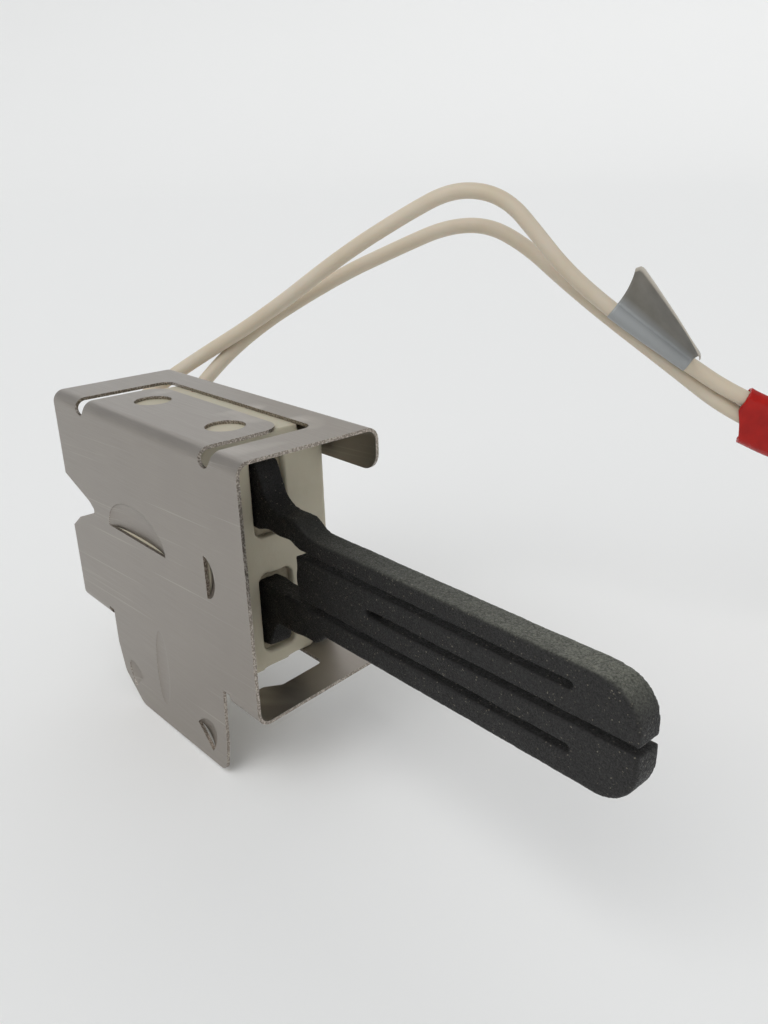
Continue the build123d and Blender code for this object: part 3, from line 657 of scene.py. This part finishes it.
# ---- shrink sleeve ----
# Glossy red polyolefin heat-shrink tube that ties both leads together. It isn't fully shrunk:
# it stands off below the lower lead, its cut ends run ragged and its wall is wrinkled lengthwise.
sleeve_start_x = {"a": 39.4 * MM, "b": 38.9 * MM}
sleeve_length = 11.5 * MM
sleeve_wall = 0.55 * MM
sleeve_slack = 2.4 * MM
slack_slant = 1.2
flare_height = 0.15 * MM
flare_reach = 0.7 * MM
wrinkle_height = 0.09 * MM
wrinkle_length = 6 * MM
waist_depth = 0.12 * MM
ragged_depth = 0.25 * MM
ragged_reach = 0.5 * MM
sleeve_stations = 60
sleeve_around = 72
walk_a, walk_b = (walk(lead_lines[side], start_x, sleeve_length, sleeve_stations)
                  for side, start_x in sleeve_start_x.items())
rings = []
for station, ((place_a, direction_a), (place_b, direction_b)) in enumerate(zip(walk_a, walk_b)):
    middle = (place_a + place_b) / 2
    forward = (direction_a + direction_b).normalized()
    apart = place_a - place_b
    apart -= forward * apart.dot(forward)
    wide = apart.normalized()
    half_gap = apart.length / 2
    thick = forward.cross(wide)
    gone = sleeve_length * station / (sleeve_stations - 1)
    to_end = min(gone, sleeve_length - gone)
    flare = flare_height * math.exp(-to_end / flare_reach)
    ring = []
    for j in range(sleeve_around):
        angle = 2 * math.pi * j / sleeve_around
        side = math.tanh(3 * math.cos(angle))
        slack = sleeve_slack * min(0.0, side)
        shift = half_gap * side + slack
        round_place = Vector((3 * math.cos(angle), 3 * math.sin(angle), gone / wrinkle_length))
        wrinkle = noise.noise(round_place) * wrinkle_height
        waist = waist_depth * math.sin(angle) ** 2
        radius = lead_diameter / 2 + sleeve_wall + flare + wrinkle - waist
        round_place.z = 2.0
        slide = noise.noise(round_place) * ragged_depth * math.exp(-to_end / ragged_reach)
        ring.append(middle + wide * (shift + radius * math.cos(angle)) + thick * radius * math.sin(angle)
                    + forward * (slide - slack * slack_slant))
    rings.append(ring)
sleeve = make_piece("red_shrink_sleeve", lofted("sleeve_skin", rings, closed=True),
                    ("SOLIDIFY", {"thickness": sleeve_wall - 0.06 * MM, "offset": -1.0}),
                    ("BEVEL", {"width": 0.12 * MM, "segments": 3, "limit_method": "ANGLE",
                               "angle_limit": math.radians(50)}))
polyolefin, tree, shader, place = start_material("glossy polyolefin heat-shrink tube", IOR=1.38)
streak_size = (9 * MM, 1.5 * MM, 1.5 * MM)
streak_turn = add_node(tree, "ShaderNodeMapping", {"Vector": place, "Rotation": (0.0, 0.38, 0.62)})
stretch = add_node(tree, "ShaderNodeMapping", {"Vector": streak_turn.outputs[0],
                                               "Scale": [1 / size for size in streak_size]})
streaks = add_node(tree, "ShaderNodeTexNoise", {"Vector": stretch.outputs[0], "Scale": 1.0, "Detail": 3.0})
tone = add_node(tree, "ShaderNodeMix", {"Factor": streaks.outputs["Fac"], "A": linear("8A0802"),
                                        "B": linear("BC1408")}, data_type="RGBA")
tree.links.new(tone.outputs[2], shader.inputs["Base Color"])
dullness = add_node(tree, "ShaderNodeMapRange", {"Value": streaks.outputs["Fac"], "To Min": 0.1,
                                                 "To Max": 0.3})
tree.links.new(dullness.outputs[0], shader.inputs["Roughness"])
relief = add_node(tree, "ShaderNodeBump", {"Height": streaks.outputs["Fac"], "Distance": 0.15 * MM,
                                           "Strength": 0.6})
tree.links.new(relief.outputs[0], shader.inputs["Normal"])
dress(sleeve, polyolefin, "shrink_sleeve")


# ---- plug ----
# Two-way housing moulded in natural nylon, with tin-plated brass pins crimped to the strands.
# Light glows faintly in the nylon's thin edges, and the mould left a fine spark-eroded texture.
housing = worked_copy("plug_housing")
housing.shade_smooth()
plug = make_piece("moulded_plug", housing,
                  ("BEVEL", {"width": 0.18 * MM, "segments": 3, "limit_method": "ANGLE",
                             "angle_limit": math.radians(40), "harden_normals": True}),
                  ("WEIGHTED_NORMAL", {"weight": 100, "keep_sharp": False}))
nylon, tree, shader, place = start_material("natural nylon 66, moulded", Roughness=0.42, IOR=1.53,
                                            Subsurface_Weight=0.2, Subsurface_Scale=0.8 * MM)
clouds = add_node(tree, "ShaderNodeTexNoise", {"Vector": place, "Scale": 1 / (5 * MM), "Detail": 3.0})
tone = add_node(tree, "ShaderNodeMix", {"Factor": clouds.outputs["Fac"], "A": linear("DDD8C8"),
                                        "B": linear("ECE9DE")}, data_type="RGBA")
tree.links.new(tone.outputs[2], shader.inputs["Base Color"])
spark = add_node(tree, "ShaderNodeTexNoise", {"Vector": place, "Scale": 1 / (0.15 * MM), "Detail": 2.0})
relief = add_node(tree, "ShaderNodeBump", {"Height": spark.outputs["Fac"], "Distance": 0.008 * MM})
tree.links.new(relief.outputs[0], shader.inputs["Normal"])
dress(plug, nylon, "plug_housing", shading=False)

brass, tree, shader, place = start_material("tin-plated brass", Metallic=1.0)
wear = add_node(tree, "ShaderNodeTexNoise", {"Vector": place, "Scale": 1 / (1.2 * MM), "Detail": 4.0})
worn = add_node(tree, "ShaderNodeMapRange", {"Value": wear.outputs["Fac"], "From Min": 0.5, "From Max": 0.65})
tone = add_node(tree, "ShaderNodeMix", {"Factor": worn.outputs[0], "A": linear("CFC9BC"),
                                        "B": linear("C9A867")}, data_type="RGBA")
tree.links.new(tone.outputs[2], shader.inputs["Base Color"])
dullness = add_node(tree, "ShaderNodeMapRange", {"Value": wear.outputs["Fac"], "To Min": 0.2, "To Max": 0.4})
tree.links.new(dullness.outputs[0], shader.inputs["Roughness"])
for side in lead_routes:
    pin = worked_copy(f"plug_contact_{side}")
    pin.shade_smooth()
    dress(make_piece(f"plug_pin_{side}", pin,
                                  ("BEVEL", {"width": 0.04 * MM, "segments": 2, "limit_method": "ANGLE",
                                             "angle_limit": math.radians(50), "harden_normals": True})),
                       brass, f"plug_contact_{side}", shading=False)


# ---- floor and light ----
# White background paper that turns up far away on every side, under two large soft suns: a
# window in front and a weaker light from behind.
floor_rings = [(3.0, 0.0), (3.4, 0.02), (3.8, 0.1), (4.2, 0.24), (4.6, 0.46), (4.9, 0.74),
               (5.2, 1.15), (5.4, 1.6), (5.5, 2.1)]
rim_angles = [math.radians(angle) for angle in range(0, 360, 6)]
rings = [[Vector((reach * math.cos(angle), reach * math.sin(angle), cad_box[0].z + rise))
          for angle in rim_angles] for reach, rise in floor_rings]
paper_mesh = lofted("background_paper", rings, closed=True)
shape = bmesh.new()
shape.from_mesh(paper_mesh)
shape.verts.ensure_lookup_table()
shape.faces.new(shape.verts[:len(rim_angles)])
bmesh.ops.recalc_face_normals(shape, faces=shape.faces)
shape.to_mesh(paper_mesh)
shape.free()
floor = bpy.data.objects.new("floor", paper_mesh)
bpy.context.scene.collection.objects.link(floor)
paper = start_material("white background paper", Roughness=0.9, Base_Color=linear("F4F4F3"))[0]
paper_mesh.materials.append(paper)
paper_mesh.shade_smooth()
for name, angles, strength, softness in (
    ("window", (38, -8, 20), 1.2, 50),
    ("back", (62, 0, 229), 0.38, 60),
):
    lamp = bpy.data.lights.new(name, "SUN")
    lamp.energy = strength
    lamp.angle = math.radians(softness)
    holder = bpy.data.objects.new(name, lamp)
    holder.rotation_euler = [math.radians(angle) for angle in angles]
    bpy.context.scene.collection.objects.link(holder)
world = bpy.data.worlds.new("studio")
world.use_nodes = True
sky = world.node_tree.nodes["Background"]
sky.inputs["Color"].default_value = linear("F4F6F8")
sky.inputs["Strength"].default_value = 0.55
bpy.context.scene.world = world
bpy.context.scene.view_settings.view_transform = "Standard"
